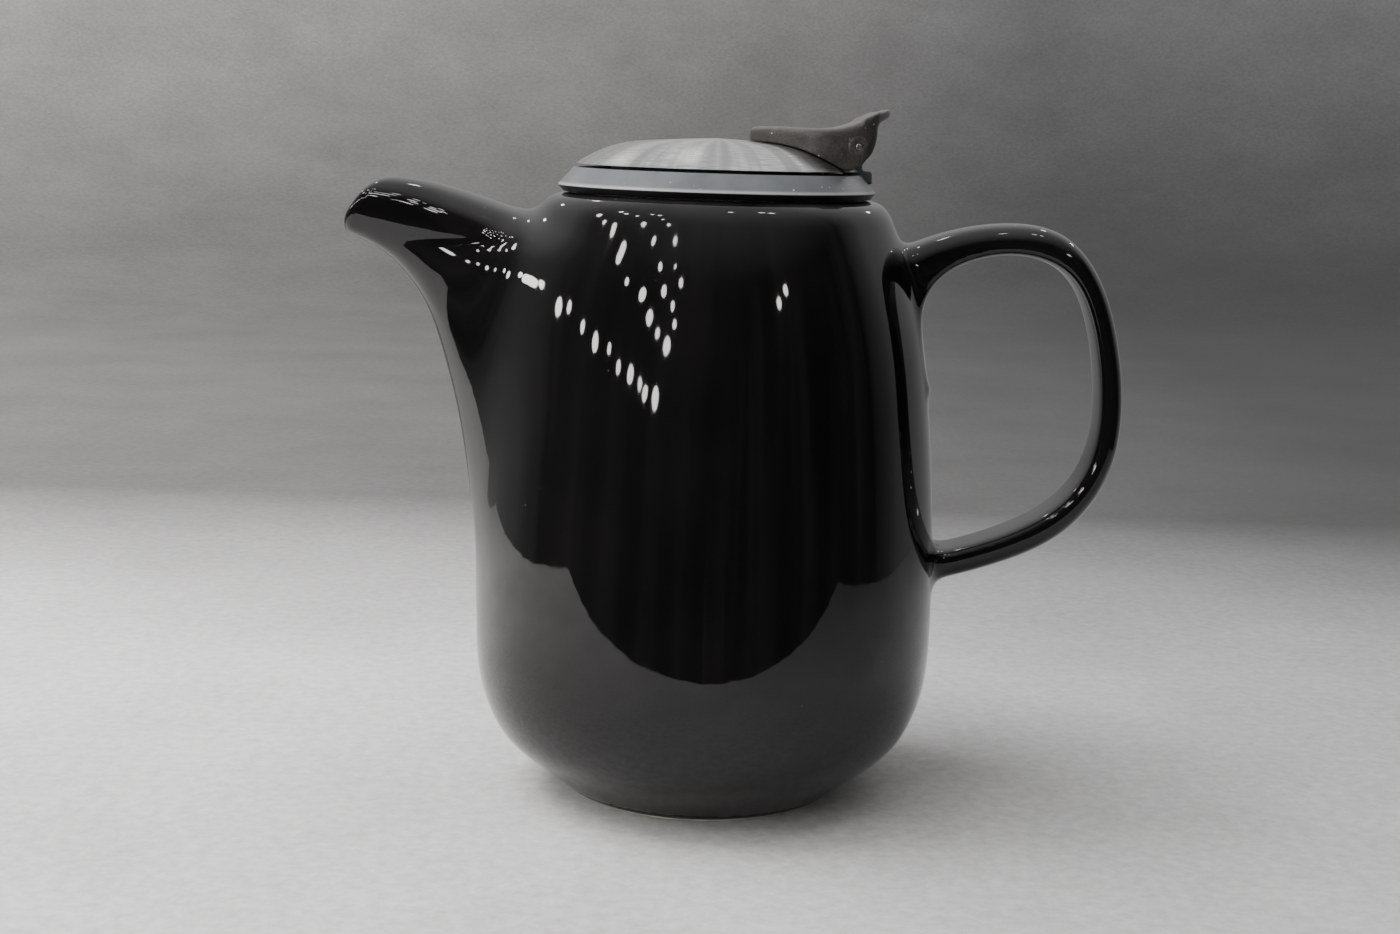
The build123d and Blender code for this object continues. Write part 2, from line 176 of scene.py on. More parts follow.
def spout_channel(x, y, z):
    """Distance from the hollow of the spout, open at its mouth and into the body."""
    width = np.abs(y) - spout_half(x)[0] + 4.2
    roof = beside(x, z, spout_crest) + 4.0 + 0.012 * y * y
    floor = 3.6 - beside(z, x, spout_front)
    hollow = smax(smax(width, roof, 7.0), floor, 12.0)
    return smax(smax(hollow, 98 - z, 4.0), x + 30, 2.0)


def handle_skin(x, y, z):
    """Distance from the strap of the handle."""
    dx, dz = x - HANDLE_CENTRE[0], z - HANDLE_CENTRE[1]
    angle, radius = np.arctan2(dz, dx), np.hypot(dx, dz)
    out, out_slope = handle_outer(angle)
    inn, inn_slope = handle_inner(angle)
    outer = (radius - out) / np.sqrt(1 + (out_slope / out) ** 2) + 0.012 * y * y
    inner = (inn - radius) / np.sqrt(1 + (inn_slope / inn) ** 2) + 0.004 * y * y
    half = 9.4 + 1.6 * np.clip((72 - x) / 20, 0, 1) ** 2
    strap = smax(smax(np.abs(y) - half, outer, 9.0), inner, 5.0)
    open_side = (-dx - 0.9 * np.abs(dz)) / 1.35
    return smax(smax(strap, 44 - x, 2.0), open_side, 2.0)


def pot_distance(x, y, z):
    """Distance from the glazed pot: body, spout and handle with their blends, less the hollow inside."""
    r = np.hypot(x, y)
    outside = smax(beside(z, r, body_outer), z - RIM_Z, 7.0)
    outside = smax(outside, GLAZE_END - z, 0.4)
    mouth = -beside(z, x, spout_mouth)
    spout = smax(spout_skin(x, y, z), mouth, 3.0)
    outside = smin(outside, spout, spout_blend(z)[0])
    outside = smin(outside, handle_skin(x, y, z), 7.0)
    hollow = smax(smax(beside(z, r, body_inner), 6.4 - z, 8.0), z - HOLLOW_TOP, 3.0)
    neck = np.minimum(smax(r - NECK_R, 150 - z, 1.0), smax(r - FLANGE_R, FLANGE_SEAT - z, 0.8))
    hollow = smin(smin(hollow, spout_channel(x, y, z), 2.0), neck, 0.8)
    return smax(outside, -hollow, 2.6)


def lever_distance(x, y, z):
    """Distance from the thumb lever: hood over the dome, thumb tab, knuckle slot, pin boss and pin hole."""
    r, side = np.hypot(x, y), np.abs(y)
    reach, slope = lever_plan(np.arctan2(side, x - LEVER_MIDDLE[0]))
    flank = (np.hypot(x - LEVER_MIDDLE[0], y) - reach) / np.sqrt(1 + (slope / reach) ** 2)
    hood = smax(beside(x, z, lever_top), flank, 3.0)
    hood = smax(hood, beside(z, x, lever_rear), 1.2)
    (x0, z0), (run, rise) = TAB_START, TAB_RUN
    along = np.clip(((x - x0) * run + (z - z0) * rise) / (run ** 2 + rise ** 2), 0, 1)
    tab = np.hypot(x - x0 - run * along, z - z0 - rise * along) - TAB_R
    solid = smin(hood, smax(tab, flank, 1.6), 2.0)
    hinge = np.hypot(x - HINGE[0], z - HINGE[1])
    solid = smin(solid, smax(hinge - 2.5, side - LEVER_SIDE - 0.1, 0.3), 0.3)
    solid = smax(smax(solid, 0.14 - beside(r, z, dome_line), 0.7), 170.7 - z, 0.8)
    slot = np.maximum(np.maximum(side - SLOT_HALF, z - SLOT_TOP), SLOT_BACK - x)
    solid = smax(solid, -slot, 0.6)
    return smax(solid, 0.96 - hinge, 0.2)


def knuckle_distance(x, y, z):
    """Distance from the knuckle that stands on the lid ring and carries the pin."""
    post = smax(np.abs(x - HINGE[0]) - KNUCKLE_R, 167 - z, 0.4)
    post = np.where(z > HINGE[1], np.hypot(x - HINGE[0], z - HINGE[1]) - KNUCKLE_R, post)
    foot = smax(smax(np.abs(x - 37.3) - 3.8, z - 170.4, 1.6), 167 - z, 0.4)
    solid = smax(smin(post, foot, 1.5), np.abs(y) - 4.0, 0.8)
    return smax(solid, 0.86 - np.hypot(x - HINGE[0], z - HINGE[1]), 0.1)


# --- mesh helpers ----------------------------------------------------------------------------
def add_object(name, verts, faces, material, body, normals=None):
    """Make a smooth-shaded object from millimetre vertices, and let it ride on a body."""
    mesh = bpy.data.meshes.new(name)
    mesh.from_pydata((np.asarray(verts) * MM).tolist(), [], faces)
    mesh.polygons.foreach_set("use_smooth", [True] * len(mesh.polygons))
    mesh.update()
    if normals is not None:
        mesh.normals_split_custom_set_from_vertices(normals.tolist())
    obj = bpy.data.objects.new(name, mesh)
    bpy.context.scene.collection.objects.link(obj)
    mesh.materials.append(material)
    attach(obj, body)
    return obj


def gradient(distance, p, step=0.04):
    """The slope of a distance field at each point."""
    columns = []
    for axis in range(3):
        offset = np.zeros(3)
        offset[axis] = step
        columns.append((distance(*(p + offset).T) - distance(*(p - offset).T)) / (2 * step))
    return np.stack(columns, axis=1)


def settle(distance, p, rounds):
    """Move points onto the surface where the distance is zero."""
    for _ in range(rounds):
        g = gradient(distance, p)
        move = distance(*p.T) / np.maximum((g * g).sum(axis=1), 0.05)
        p = p - np.clip(move, -0.8, 0.8)[:, None] * g
    return p


def implicit_mesh(distance, low, high, pitch, relax=2):
    """Quads over the zero surface of a distance field: one vertex in each grid cell it crosses."""
    axes = [np.arange(a, b + pitch, pitch) for a, b in zip(low, high)]
    field = distance(*np.meshgrid(*axes, indexing="ij"))
    inside = field < 0
    cells = tuple(n - 1 for n in field.shape)
    corners = [(i, j, k) for i in (0, 1) for j in (0, 1) for k in (0, 1)]
    count = np.zeros(cells, np.int8)
    for i, j, k in corners:
        count += inside[i:i + cells[0], j:j + cells[1], k:k + cells[2]]
    cell = np.argwhere((count > 0) & (count < 8))
    number = np.full(cells, -1)
    number[tuple(cell.T)] = np.arange(len(cell))
    total, hits = np.zeros((len(cell), 3)), np.zeros(len(cell))
    for axis in range(3):
        for corner in (c for c in corners if c[axis] == 0):
            start = cell + corner
            end = start.copy()
            end[:, axis] += 1
            f0, f1 = field[tuple(start.T)], field[tuple(end.T)]
            cross = (f0 < 0) != (f1 < 0)
            point = start.astype(float)
            point[:, axis] += np.where(cross, f0 / np.where(cross, f0 - f1, 1), 0)
            total += point * cross[:, None]
            hits += cross
    points = np.array(low) + total / hits[:, None] * pitch
    faces = []
    for axis in range(3):
        u, v = (axis + 1) % 3, (axis + 2) % 3
        low_end = np.take(inside, range(cells[axis]), axis=axis)
        high_end = np.take(inside, range(1, cells[axis] + 1), axis=axis)
        edge = np.argwhere(low_end != high_end)
        within = [(edge[:, w] > 0) & (edge[:, w] < cells[w]) for w in (u, v)]
        edge = edge[within[0] & within[1]]
        quad = []
        for du, dv in ((-1, -1), (0, -1), (0, 0), (-1, 0)):
            around = edge.copy()
            around[:, u] += du
            around[:, v] += dv
            quad.append(number[tuple(around.T)])
        quad = np.stack(quad, axis=1)
        outward = low_end[tuple(edge.T)]
        faces.append(np.where(outward[:, None], quad, quad[:, ::-1]))
    faces = np.concatenate(faces)
    points = settle(distance, points, 2)
    pairs = np.concatenate([faces[:, [0, 1]], faces[:, [1, 2]], faces[:, [2, 3]], faces[:, [3, 0]]])
    degree = np.bincount(pairs.ravel(), minlength=len(points))[:, None]
    for _ in range(relax):
        near = np.zeros_like(points)
        for axis in range(3):
            near[:, axis] = (np.bincount(pairs[:, 0], points[pairs[:, 1], axis], len(points))
                             + np.bincount(pairs[:, 1], points[pairs[:, 0], axis], len(points)))
        points = settle(distance, 0.5 * points + 0.5 * near / degree, 1)
    points = settle(distance, points, 2)
    normals = gradient(distance, points)
    normals /= np.linalg.norm(normals, axis=1)[:, None]
    return points, faces.tolist(), normals


def rounded(corners, steps=5):
    """A closed outline of (r, z, rounding) corners with each corner rounded by an arc."""
    outline = []
    for i, (r, z, radius) in enumerate(corners):
        here = np.array((r, z))
        a = np.array(corners[i - 1][:2]) - here
        b = np.array(corners[(i + 1) % len(corners)][:2]) - here
        a, b = a / np.linalg.norm(a), b / np.linalg.norm(b)
        half = math.acos(np.clip(a @ b, -1, 1)) / 2
        centre = here + (a + b) / np.linalg.norm(a + b) * radius / math.sin(half)
        reach = radius / math.tan(half)
        first, last = here + a * reach - centre, here + b * reach - centre
        turn = math.pi - 2 * half
        for s in range(steps + 1):
            swing = turn * s / steps
            arm = math.sin(turn - swing) * first + math.sin(swing) * last
            outline.append(centre + arm / math.sin(turn))
    return outline


def lathe(name, outline, material, body, segments=240):
    """Turn a closed (r, z) outline about the Z axis."""
    n = len(outline)
    verts, faces = [], []
    for s in range(segments):
        a = 2 * math.pi * s / segments
        verts += [(r * math.cos(a), r * math.sin(a), z) for r, z in outline]
        for i in range(n):
            j, nxt = (i + 1) % n, (s + 1) % segments
            faces.append((s * n + i, nxt * n + i, nxt * n + j, s * n + j))
    return add_object(name, verts, faces, material, body)


def sharpen(obj, degrees=40):
    """Split the shading at edges steeper than this."""
    obj.data.set_sharp_from_angle(angle=math.radians(degrees))


def sheet_outline(rim, thickness=0.8, steps=40):
    """The dome's closed outline, out to the given rim radius, with a rounded lip and a flat underside."""
    outer, inner = [], []
    for i in range(steps + 1):
        r = max(0.05, (rim - 0.25) * math.sin(0.5 * math.pi * i / steps))
        z, slope = (float(v) for v in dome_line(np.array(r)))
        lean = math.hypot(1, slope)
        outer.append((r, z))
        inner.append((r + thickness * slope / lean, max(z - thickness / lean, DOME_UNDER)))
    inner = [p for p in inner if p[0] > 0.05]
    z = outer[-1][1]
    lip = [(rim - 0.06, z - 0.12), (rim, max(z - 0.32, DOME_UNDER + 0.12)),
           (rim - 0.12, DOME_UNDER + 0.02), (rim - 0.3, DOME_UNDER)]
    return outer + lip + inner[::-1]


# --- shader nodes ----------------------------------------------------------------------------
def node(tree, kind, inputs=None, **settings):
    """Add a shader node; inputs may be values or the outputs of other nodes."""
    made = tree.nodes.new(kind)
    for key, value in settings.items():
        setattr(made, key, value)
    for key, value in (inputs or {}).items():
        if isinstance(value, bpy.types.NodeSocket):
            tree.links.new(value, made.inputs[key])
        else:
            made.inputs[key].default_value = value
    return made


def new_material(name, **values):
    """A Principled material with constant sockets set; also gives its tree, shader and coordinates."""
    material = bpy.data.materials.new(name)
    material.use_nodes = True
    tree = material.node_tree
    shader = tree.nodes["Principled BSDF"]
    for key, value in values.items():
        shader.inputs[key.replace("_", " ")].default_value = value
    place = node(tree, "ShaderNodeTexCoord").outputs["Object"]
    return material, tree, shader, place


def noise(tree, place, size, detail=2.0, roughness=0.5):
    """Noise whose blobs are about size metres across."""
    inputs = {"Vector": place, "Scale": 1 / size, "Detail": detail, "Roughness": roughness}
    return node(tree, "ShaderNodeTexNoise", inputs).outputs[0]


def stretch(tree, place, factors):
    """The same coordinates, scaled along each axis."""
    return node(tree, "ShaderNodeMapping", {"Vector": place, "Scale": factors}).outputs[0]


def ramp(tree, value, low, high, to_low=0.0, to_high=1.0):
    """Map low..high to to_low..to_high, clamped."""
    inputs = {"Value": value, "From Min": low, "From Max": high, "To Min": to_low, "To Max": to_high}
    return node(tree, "ShaderNodeMapRange", inputs).outputs[0]


def maths(tree, operation, a, b=0.0):
    """One arithmetic step."""
    return node(tree, "ShaderNodeMath", {0: a, 1: b}, operation=operation).outputs[0]


def mix(tree, factor, a, b):
    """Blend two colours."""
    inputs = {"Factor": factor, "A": a, "B": b}
    made = tree.nodes.new("ShaderNodeMix")
    made.data_type = "RGBA"
    for key, index in (("Factor", 0), ("A", 6), ("B", 7)):
        if isinstance(inputs[key], bpy.types.NodeSocket):
            tree.links.new(inputs[key], made.inputs[index])
        else:
            made.inputs[index].default_value = inputs[key]
    return made.outputs[2]


def specks(tree, place, spacing, size, share):
    """A mask of fine dust: a round speck of up to size metres in a share of cells, spacing apart."""
    cells = node(tree, "ShaderNodeTexVoronoi", {"Vector": place, "Scale": 1 / spacing})
    chance = node(tree, "ShaderNodeSeparateColor", {"Color": cells.outputs["Color"]})
    radius = ramp(tree, chance.outputs[0], 1 - share, 1.0, 0.0, size / spacing / 2)
    return maths(tree, "LESS_THAN", cells.outputs["Distance"], radius)


def bump(tree, shader, layers):
    """Chain (height, depth in metres) layers into the shader's normal."""
    normal = None
    for height, depth in layers:
        inputs = {"Height": height, "Distance": depth, "Strength": 1.0}
        if normal is not None:
            inputs["Normal"] = normal
        normal = node(tree, "ShaderNodeBump", inputs).outputs[0]
    tree.links.new(normal, shader.inputs["Normal"])


def grey(level, warm=0.0):
    """A colour near grey, a little warm or cool."""
    return (level * (1 + warm), level, level * (1 - warm), 1.0)


def glaze_material():
    """Black glaze: deep gloss, faint waves and orange peel, fine dust where it faces up, and a rougher film
    where it faces up whose paler tint is painted sheen.
    """
    material, tree, shader, place = new_material("black_glaze", IOR=1.44)
    dust = specks(tree, place, 0.0042, 0.00042, 0.22)
    fine = specks(tree, place, 0.0016, 0.00016, 0.3)
    facing = node(tree, "ShaderNodeNewGeometry").outputs["Normal"]
    up = node(tree, "ShaderNodeSeparateXYZ", {"Vector": facing}).outputs[2]
    patch = noise(tree, place, 0.03, 3.0)
    # painted sheen: patches that face up get a paler tint and a little more roughness
    painted_sheen_film = maths(tree, "MULTIPLY", ramp(tree, up, 0.25, 0.95), ramp(tree, patch, 0.35, 0.75))
    lint = maths(tree, "MULTIPLY", maths(tree, "MAXIMUM", dust, fine), ramp(tree, up, -0.2, 0.7, 0.25, 1.0))
    body = mix(tree, ramp(tree, patch, 0.3, 0.7), (0.0032, 0.0031, 0.0034, 1), (0.0050, 0.0047, 0.0046, 1))
    # painted sheen: pale grey mixed in where the glaze faces up
    body = mix(tree, maths(tree, "MULTIPLY", painted_sheen_film, 0.10), body, grey(0.16, 0.04))
    body = mix(tree, maths(tree, "MULTIPLY", lint, 0.65), body, grey(0.26, 0.05))
    tree.links.new(body, shader.inputs["Base Color"])
    smear = noise(tree, stretch(tree, place, (1, 1, 0.35)), 0.012, 4.0, 0.6)
    rough = maths(tree, "ADD", ramp(tree, smear, 0.35, 0.75, 0.022, 0.05),
                  maths(tree, "MULTIPLY", painted_sheen_film, 0.10))
    tree.links.new(maths(tree, "ADD", rough, maths(tree, "MULTIPLY", lint, 0.4)), shader.inputs["Roughness"])
    waves = noise(tree, stretch(tree, place, (1, 1, 0.5)), 0.034, 1.0)
    peel = noise(tree, place, 0.0045, 1.0)
    bump(tree, shader, [(waves, 0.00030), (peel, 0.000012)])
    return material


def bisque_material():
    """Pale unglazed clay of the foot ring, worn grey where it rubs."""
    material, tree, shader, place = new_material("unglazed_clay", Roughness=0.85)
    grain = noise(tree, place, 0.0006, 4.0, 0.7)
    stain = noise(tree, place, 0.006, 3.0)
    clay = mix(tree, ramp(tree, stain, 0.4, 0.7), (0.50, 0.47, 0.42, 1), (0.30, 0.28, 0.26, 1))
    clay = mix(tree, ramp(tree, grain, 0.5, 0.8), clay, (0.62, 0.59, 0.54, 1))
    tree.links.new(clay, shader.inputs["Base Color"])
    bump(tree, shader, [(grain, 0.00008)])
    return material


def ring_material():
    """Satin blue-grey plastic with a moulded grain and dust, a painted highlight along its lower edge and
    painted shade on its underside.
    """
    material, tree, shader, place = new_material("satin_lid_plastic", IOR=1.5)
    cloud = noise(tree, place, 0.007, 4.0, 0.6)
    grain = noise(tree, place, 0.00035, 2.0, 0.6)
    dust = specks(tree, place, 0.0019, 0.00055, 0.4)
    colour = mix(tree, ramp(tree, cloud, 0.3, 0.7), (0.062, 0.067, 0.075, 1), (0.094, 0.098, 0.106, 1))
    colour = mix(tree, maths(tree, "MULTIPLY", grain, 0.5), colour, (0.125, 0.13, 0.14, 1))
    height = node(tree, "ShaderNodeSeparateXYZ", {"Vector": place}).outputs[2]
    # painted highlight: a pale band round the ring just above its lower edge, z 164.4 to 165.5 mm
    painted_edge_highlight = maths(tree, "MULTIPLY", ramp(tree, height, 0.1644, 0.1647),
                 ramp(tree, height, 0.1648, 0.1655, 1.0, 0.0))
    colour = mix(tree, maths(tree, "MULTIPLY", painted_edge_highlight, 0.8), colour, grey(0.34, 0.01))
    colour = mix(tree, maths(tree, "MULTIPLY", dust, 0.8), colour, grey(0.55, 0.02))
    facing = node(tree, "ShaderNodeNewGeometry").outputs["Normal"]
    down = node(tree, "ShaderNodeSeparateXYZ", {"Vector": facing}).outputs[2]
    # painted shade: faces that look down are painted near black
    colour = mix(tree, ramp(tree, down, -0.35, -0.1), grey(0.004), colour)
    tree.links.new(colour, shader.inputs["Base Color"])
    rough = maths(tree, "ADD", ramp(tree, cloud, 0.3, 0.7, 0.30, 0.40), maths(tree, "MULTIPLY", grain, 0.06))
    tree.links.new(rough, shader.inputs["Roughness"])
    bump(tree, shader, [(grain, 0.000010)])
    return material


def lever_material():
    """Grained brownish-black plastic with dust specks, and a painted paler sheen where it faces up."""
    material, tree, shader, place = new_material("grained_lever_plastic", IOR=1.5)
    grain = noise(tree, place, 0.00055, 3.0, 0.65)
    cloud = noise(tree, place, 0.0045, 4.0, 0.65)
    dust = specks(tree, place, 0.0020, 0.00050, 0.35)
    colour = mix(tree, ramp(tree, cloud, 0.3, 0.7), (0.014, 0.0126, 0.0118, 1), (0.034, 0.0305, 0.0285, 1))
    peaks = maths(tree, "MULTIPLY", ramp(tree, grain, 0.5, 0.75), 0.5)
    colour = mix(tree, peaks, colour, (0.085, 0.076, 0.070, 1))
    facing = node(tree, "ShaderNodeNewGeometry").outputs["Normal"]
    up = ramp(tree, node(tree, "ShaderNodeSeparateXYZ", {"Vector": facing}).outputs[2], 0.25, 0.9)
    # painted highlight: a paler tint in patches where the lever faces up, standing for the light along its
    # top
    painted_sheen_film = maths(tree, "MULTIPLY", up, ramp(tree, cloud, 0.3, 0.75, 0.45, 1.0))
    colour = mix(tree, painted_sheen_film, colour, (0.075, 0.068, 0.063, 1))
    colour = mix(tree, maths(tree, "MULTIPLY", dust, 0.7), colour, grey(0.5, 0.03))
    tree.links.new(colour, shader.inputs["Base Color"])
    tree.links.new(ramp(tree, grain, 0.25, 0.75, 0.30, 0.46), shader.inputs["Roughness"])
    bump(tree, shader, [(grain, 0.00004)])
    return material


def ring_coordinates(tree, place, across, around):
    """Coordinates round the Z axis: radius and height times across, angle times around."""
    split = node(tree, "ShaderNodeSeparateXYZ", {"Vector": place})
    x, y, z = split.outputs[0], split.outputs[1], split.outputs[2]
    squares = [maths(tree, "MULTIPLY", side, side) for side in (x, y)]
    radius = maths(tree, "SQRT", maths(tree, "ADD", *squares))
    angle = maths(tree, "ARCTAN2", y, x)
    parts = {0: maths(tree, "MULTIPLY", radius, across), 1: maths(tree, "MULTIPLY", angle, around),
             2: maths(tree, "MULTIPLY", z, across)}
    return node(tree, "ShaderNodeCombineXYZ", parts).outputs[0]


def steel_material(name, spun, roughness, tone):
    """Stainless steel: spun steel carries fine rings about the axis and painted fans of highlight and shade,
    other steel a plain satin grain.
    """
    material, tree, shader, place = new_material(name, Metallic=1.0, Anisotropic=0.8 if spun else 0.2,
                                                 Anisotropic_Rotation=0.25 if spun else 0.0)
    if spun:
        along = ring_coordinates(tree, place, 5200.0, 7.0)
        tangent = node(tree, "ShaderNodeTangent", direction_type="RADIAL", axis="Z").outputs[0]
        tree.links.new(tangent, shader.inputs["Tangent"])
    else:
        along = stretch(tree, place, (4000, 4000, 900))
    lines = noise(tree, along, 1.0, 3.0)
    wear = noise(tree, place, 0.009, 4.0, 0.6)
    dust = specks(tree, place, 0.0026, 0.00028, 0.3)
    light, dark = grey(tone, 0.01), grey(tone * (0.48 if spun else 0.72), 0.01)
    colour = mix(tree, ramp(tree, lines, 0.35, 0.65), dark, light)
    if spun:
        # painted highlight and shade: darker fans about the axis, standing for the lamps' streaks
        sectors = ring_coordinates(tree, place, 12.0, 9.0)
        painted_highlight_fans = noise(tree, sectors, 1.0)
        colour = mix(tree, ramp(tree, painted_highlight_fans, 0.40, 0.60, 0.0, 0.85), colour, dark)
    colour = mix(tree, maths(tree, "MULTIPLY", ramp(tree, wear, 0.5, 0.8), 0.3), colour, dark)
    colour = mix(tree, maths(tree, "MULTIPLY", dust, 0.5), colour, grey(0.7))
    tree.links.new(colour, shader.inputs["Base Color"])
    rough = maths(tree, "ADD", ramp(tree, lines, 0.3, 0.7, roughness - 0.05, roughness + 0.07),
                  ramp(tree, wear, 0.4, 0.8, 0.0, 0.08))
    tree.links.new(rough, shader.inputs["Roughness"])
    bump(tree, shader, [(lines, 0.000012 if spun else 0.000004)])
    return material


def silicone_material():
    """Translucent-looking pale grey silicone seal with a little lint."""
    material, tree, shader, place = new_material("grey_silicone", Roughness=0.55, Subsurface_Weight=0.1)
    cloud = noise(tree, place, 0.004, 3.0)
    lint = specks(tree, place, 0.003, 0.0003, 0.3)
    colour = mix(tree, ramp(tree, cloud, 0.3, 0.7), grey(0.50, 0.02), grey(0.58, 0.02))
    tree.links.new(mix(tree, lint, colour, grey(0.25)), shader.inputs["Base Color"])
    bump(tree, shader, [(noise(tree, place, 0.0008, 2.0), 0.00002)])
    return material


def floor_material():
    """Pale plaster with painted light and shade: darker to the right, and behind the pot darker low on the
    wall and paler higher up.
    """
    material, tree, shader, place = new_material("pale_floor", Roughness=0.75)
    split = node(tree, "ShaderNodeSeparateXYZ", {"Vector": place})
    grain = noise(tree, place, 0.004, 5.0, 0.7)
    cloud = noise(tree, place, 0.12, 5.0, 0.65)
    # painted shade: the floor turns darker to the right
    right = ramp(tree, split.outputs[0], -0.25, 0.45)
    colour = mix(tree, right, grey(0.74, 0.015), grey(0.24, -0.01))
    # painted light and shade behind the pot: dark low on the wall, pale higher up, darker to the right
    across = ramp(tree, split.outputs[0], -1.2, 0.4)
    low = mix(tree, across, grey(0.30, 0.02), grey(0.05, 0.0))
    high = mix(tree, across, grey(0.84, 0.03), grey(0.24, 0.0))
    behind = mix(tree, ramp(tree, split.outputs[2], 0.05, 0.55), low, high)
    colour = mix(tree, ramp(tree, split.outputs[1], 0.12, 0.42), colour, behind)
    shade = maths(tree, "MULTIPLY", ramp(tree, cloud, 0.3, 0.7, 0.84, 1.08),
                  ramp(tree, grain, 0.3, 0.75, 0.78, 1.14))
    scaled = node(tree, "ShaderNodeVectorMath", {0: colour}, operation="SCALE")
    tree.links.new(shade, scaled.inputs["Scale"])
    tree.links.new(scaled.outputs[0], shader.inputs["Base Color"])
    return material


GLAZE = glaze_material()
BISQUE = bisque_material()
RING = ring_material()
LEVER = lever_material()
DOME_STEEL = steel_material("spun_dome_steel", True, 0.30, 0.92)
STEEL = steel_material("satin_steel", False, 0.26, 0.60)
SILICONE = silicone_material()
FLOOR = floor_material()


# --- the pot ---------------------------------------------------------------------------------
def build_pot():
    """The one fired piece: glazed body, spout and handle, and the bare clay foot."""
    pitch = POT_PITCH
    low, high = (-103.0, -66.0, 0.0), (116.0, 66.0, 166.5)
    points, faces, normals = implicit_mesh(pot_distance, low, high, pitch)
    pot = add_object("pot_glazed", points, faces, GLAZE, "pot", normals)
    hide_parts("pot_body", "spout", "handle")
    ring = rounded([(31.4, 2.7, 0.2), (33.5, 0.0, 0.5), (35.7, 0.0, 0.5), (36.1, 2.7, 0.2)])
    foot = lathe("pot_foot_ring", ring, BISQUE, "pot")
    skirt = rounded([(0.3, 2.2, 0.1), (34.0, 2.2, 0.1), (36.0, 1.3, 0.2), (37.8, 1.3, 0.4),
                     (39.5, 2.75, 0.2), (0.3, 2.75, 0.1)])
    under = lathe("pot_foot_skirt", skirt, GLAZE, "pot")


# --- the lid ---------------------------------------------------------------------------------
def build_lid():
    """Plastic ring with its hinge knuckle."""
    profile = rounded([(30.0, 156.0, 0.4), (32.2, 156.0, 0.4), (32.2, 162.9, 0.2), (41.0, 162.9, 0.3),
                       (42.5, 164.6, 0.4), (38.3, 169.3, 0.35), (30.0, 169.3, 0.4)])
    ring = lathe("lid_ring_body", profile, RING, "lid")
    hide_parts("lid_ring")
    low, high = (32.0, -5.0, 166.0), (42.5, 5.0, 180.0)
    points, faces, normals = implicit_mesh(knuckle_distance, low, high, FINE_PITCH)
    knuckle = add_object("lid_hinge_knuckle", points, faces, RING, "lid", normals)


def build_flap():
    """Steel dome, notched at the hinge, and the thumb lever on top of it."""
    segments = 480
    verts, faces = [], []
    full, short = sheet_outline(DOME_RIM), sheet_outline(NOTCH_RIM)
    n = min(len(full), len(short))
    full, short = full[:n], short[:n]
    for s in range(segments):
        a = 2 * math.pi * s / segments
        notched = abs(math.sin(a)) * 36 < NOTCH_HALF and math.cos(a) > 0
        verts += [(r * math.cos(a), r * math.sin(a), z) for r, z in (short if notched else full)]
        for i in range(n):
            j, nxt = (i + 1) % n, (s + 1) % segments
            faces.append((s * n + i, nxt * n + i, nxt * n + j, s * n + j))
    dome = add_object("dome_shell", verts, faces, DOME_STEEL, "flap")
    sharpen(dome, 50)
    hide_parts("dome")
    low, high = (6.5, -20.6, 169.4), (47.0, 20.6, 188.4)
    points, faces, normals = implicit_mesh(lever_distance, low, high, FINE_PITCH)
    lever = add_object("thumb_lever", points, faces, LEVER, "flap", normals)
    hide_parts("lever")


# --- the infuser -----------------------------------------------------------------------------
def build_infuser():
    """Perforated steel wall of the basket: rows of round holes, each row half a step round from the last."""
    columns, rows, sides = 60, 26, 8
    low, high, hole = 69.2, 149.8, 0.8
    outer, inner = 32.7, 32.2
    step, lift = 2 * math.pi / columns, (high - low) / rows
    verts, faces = [], []

    def point(angle, z, radius):
        """Add one point of the sheet."""
        verts.append((radius * math.cos(angle), radius * math.sin(angle), z))
        return len(verts) - 1

    for row in range(rows):
        z0 = low + row * lift
        for column in range(columns):
            a0 = (column + 0.5 * (row % 2)) * step
            centre, middle = a0 + step / 2, z0 + lift / 2
            loops = []
            for radius in (outer, inner):
                frame_loop, hole_loop = [], []
                for i in range(sides):
                    t = 2 * math.pi * (i + 0.5) / sides
                    u, v = math.cos(t), math.sin(t)
                    reach = 2 * max(abs(u), abs(v))
                    frame_loop.append(point(centre + u / reach * step, middle + v / reach * lift, radius))
                    hole_loop.append(point(centre + u * hole / outer, middle + v * hole, radius))
                loops.append((frame_loop, hole_loop))
            (frame_out, hole_out), (frame_in, hole_in) = loops
            for i in range(sides):
                j = (i + 1) % sides
                faces.append((frame_out[i], frame_out[j], hole_out[j], hole_out[i]))
                faces.append((frame_in[j], frame_in[i], hole_in[i], hole_in[j]))
                faces.append((hole_out[i], hole_out[j], hole_in[j], hole_in[i]))
    screen = add_object("infuser_screen", verts, faces, STEEL, "infuser")
    sharpen(screen, 30)
    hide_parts("infuser_mesh")


def dress_cad():
    """Give the pieces shown straight from the CAD their finishes."""
    finishes = {"lid_gasket": SILICONE, "hinge_pin": STEEL, "dome_liner": RING, "lever_screws": STEEL,
                "infuser_collar": STEEL, "infuser_base": STEEL}
    for name, material in finishes.items():
        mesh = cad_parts[name].data
        mesh.materials.clear()
        mesh.materials.append(material)


# --- stage, light and camera -----------------------------------------------------------------
def stage_piece(name, verts, faces):
    """A piece of the floor, from vertices in metres."""
    mesh = bpy.data.meshes.new(name)
    mesh.from_pydata(verts, [], faces)
    mesh.materials.append(FLOOR)
    obj = bpy.data.objects.new(name, mesh)
    bpy.context.scene.collection.objects.link(obj)
    return obj


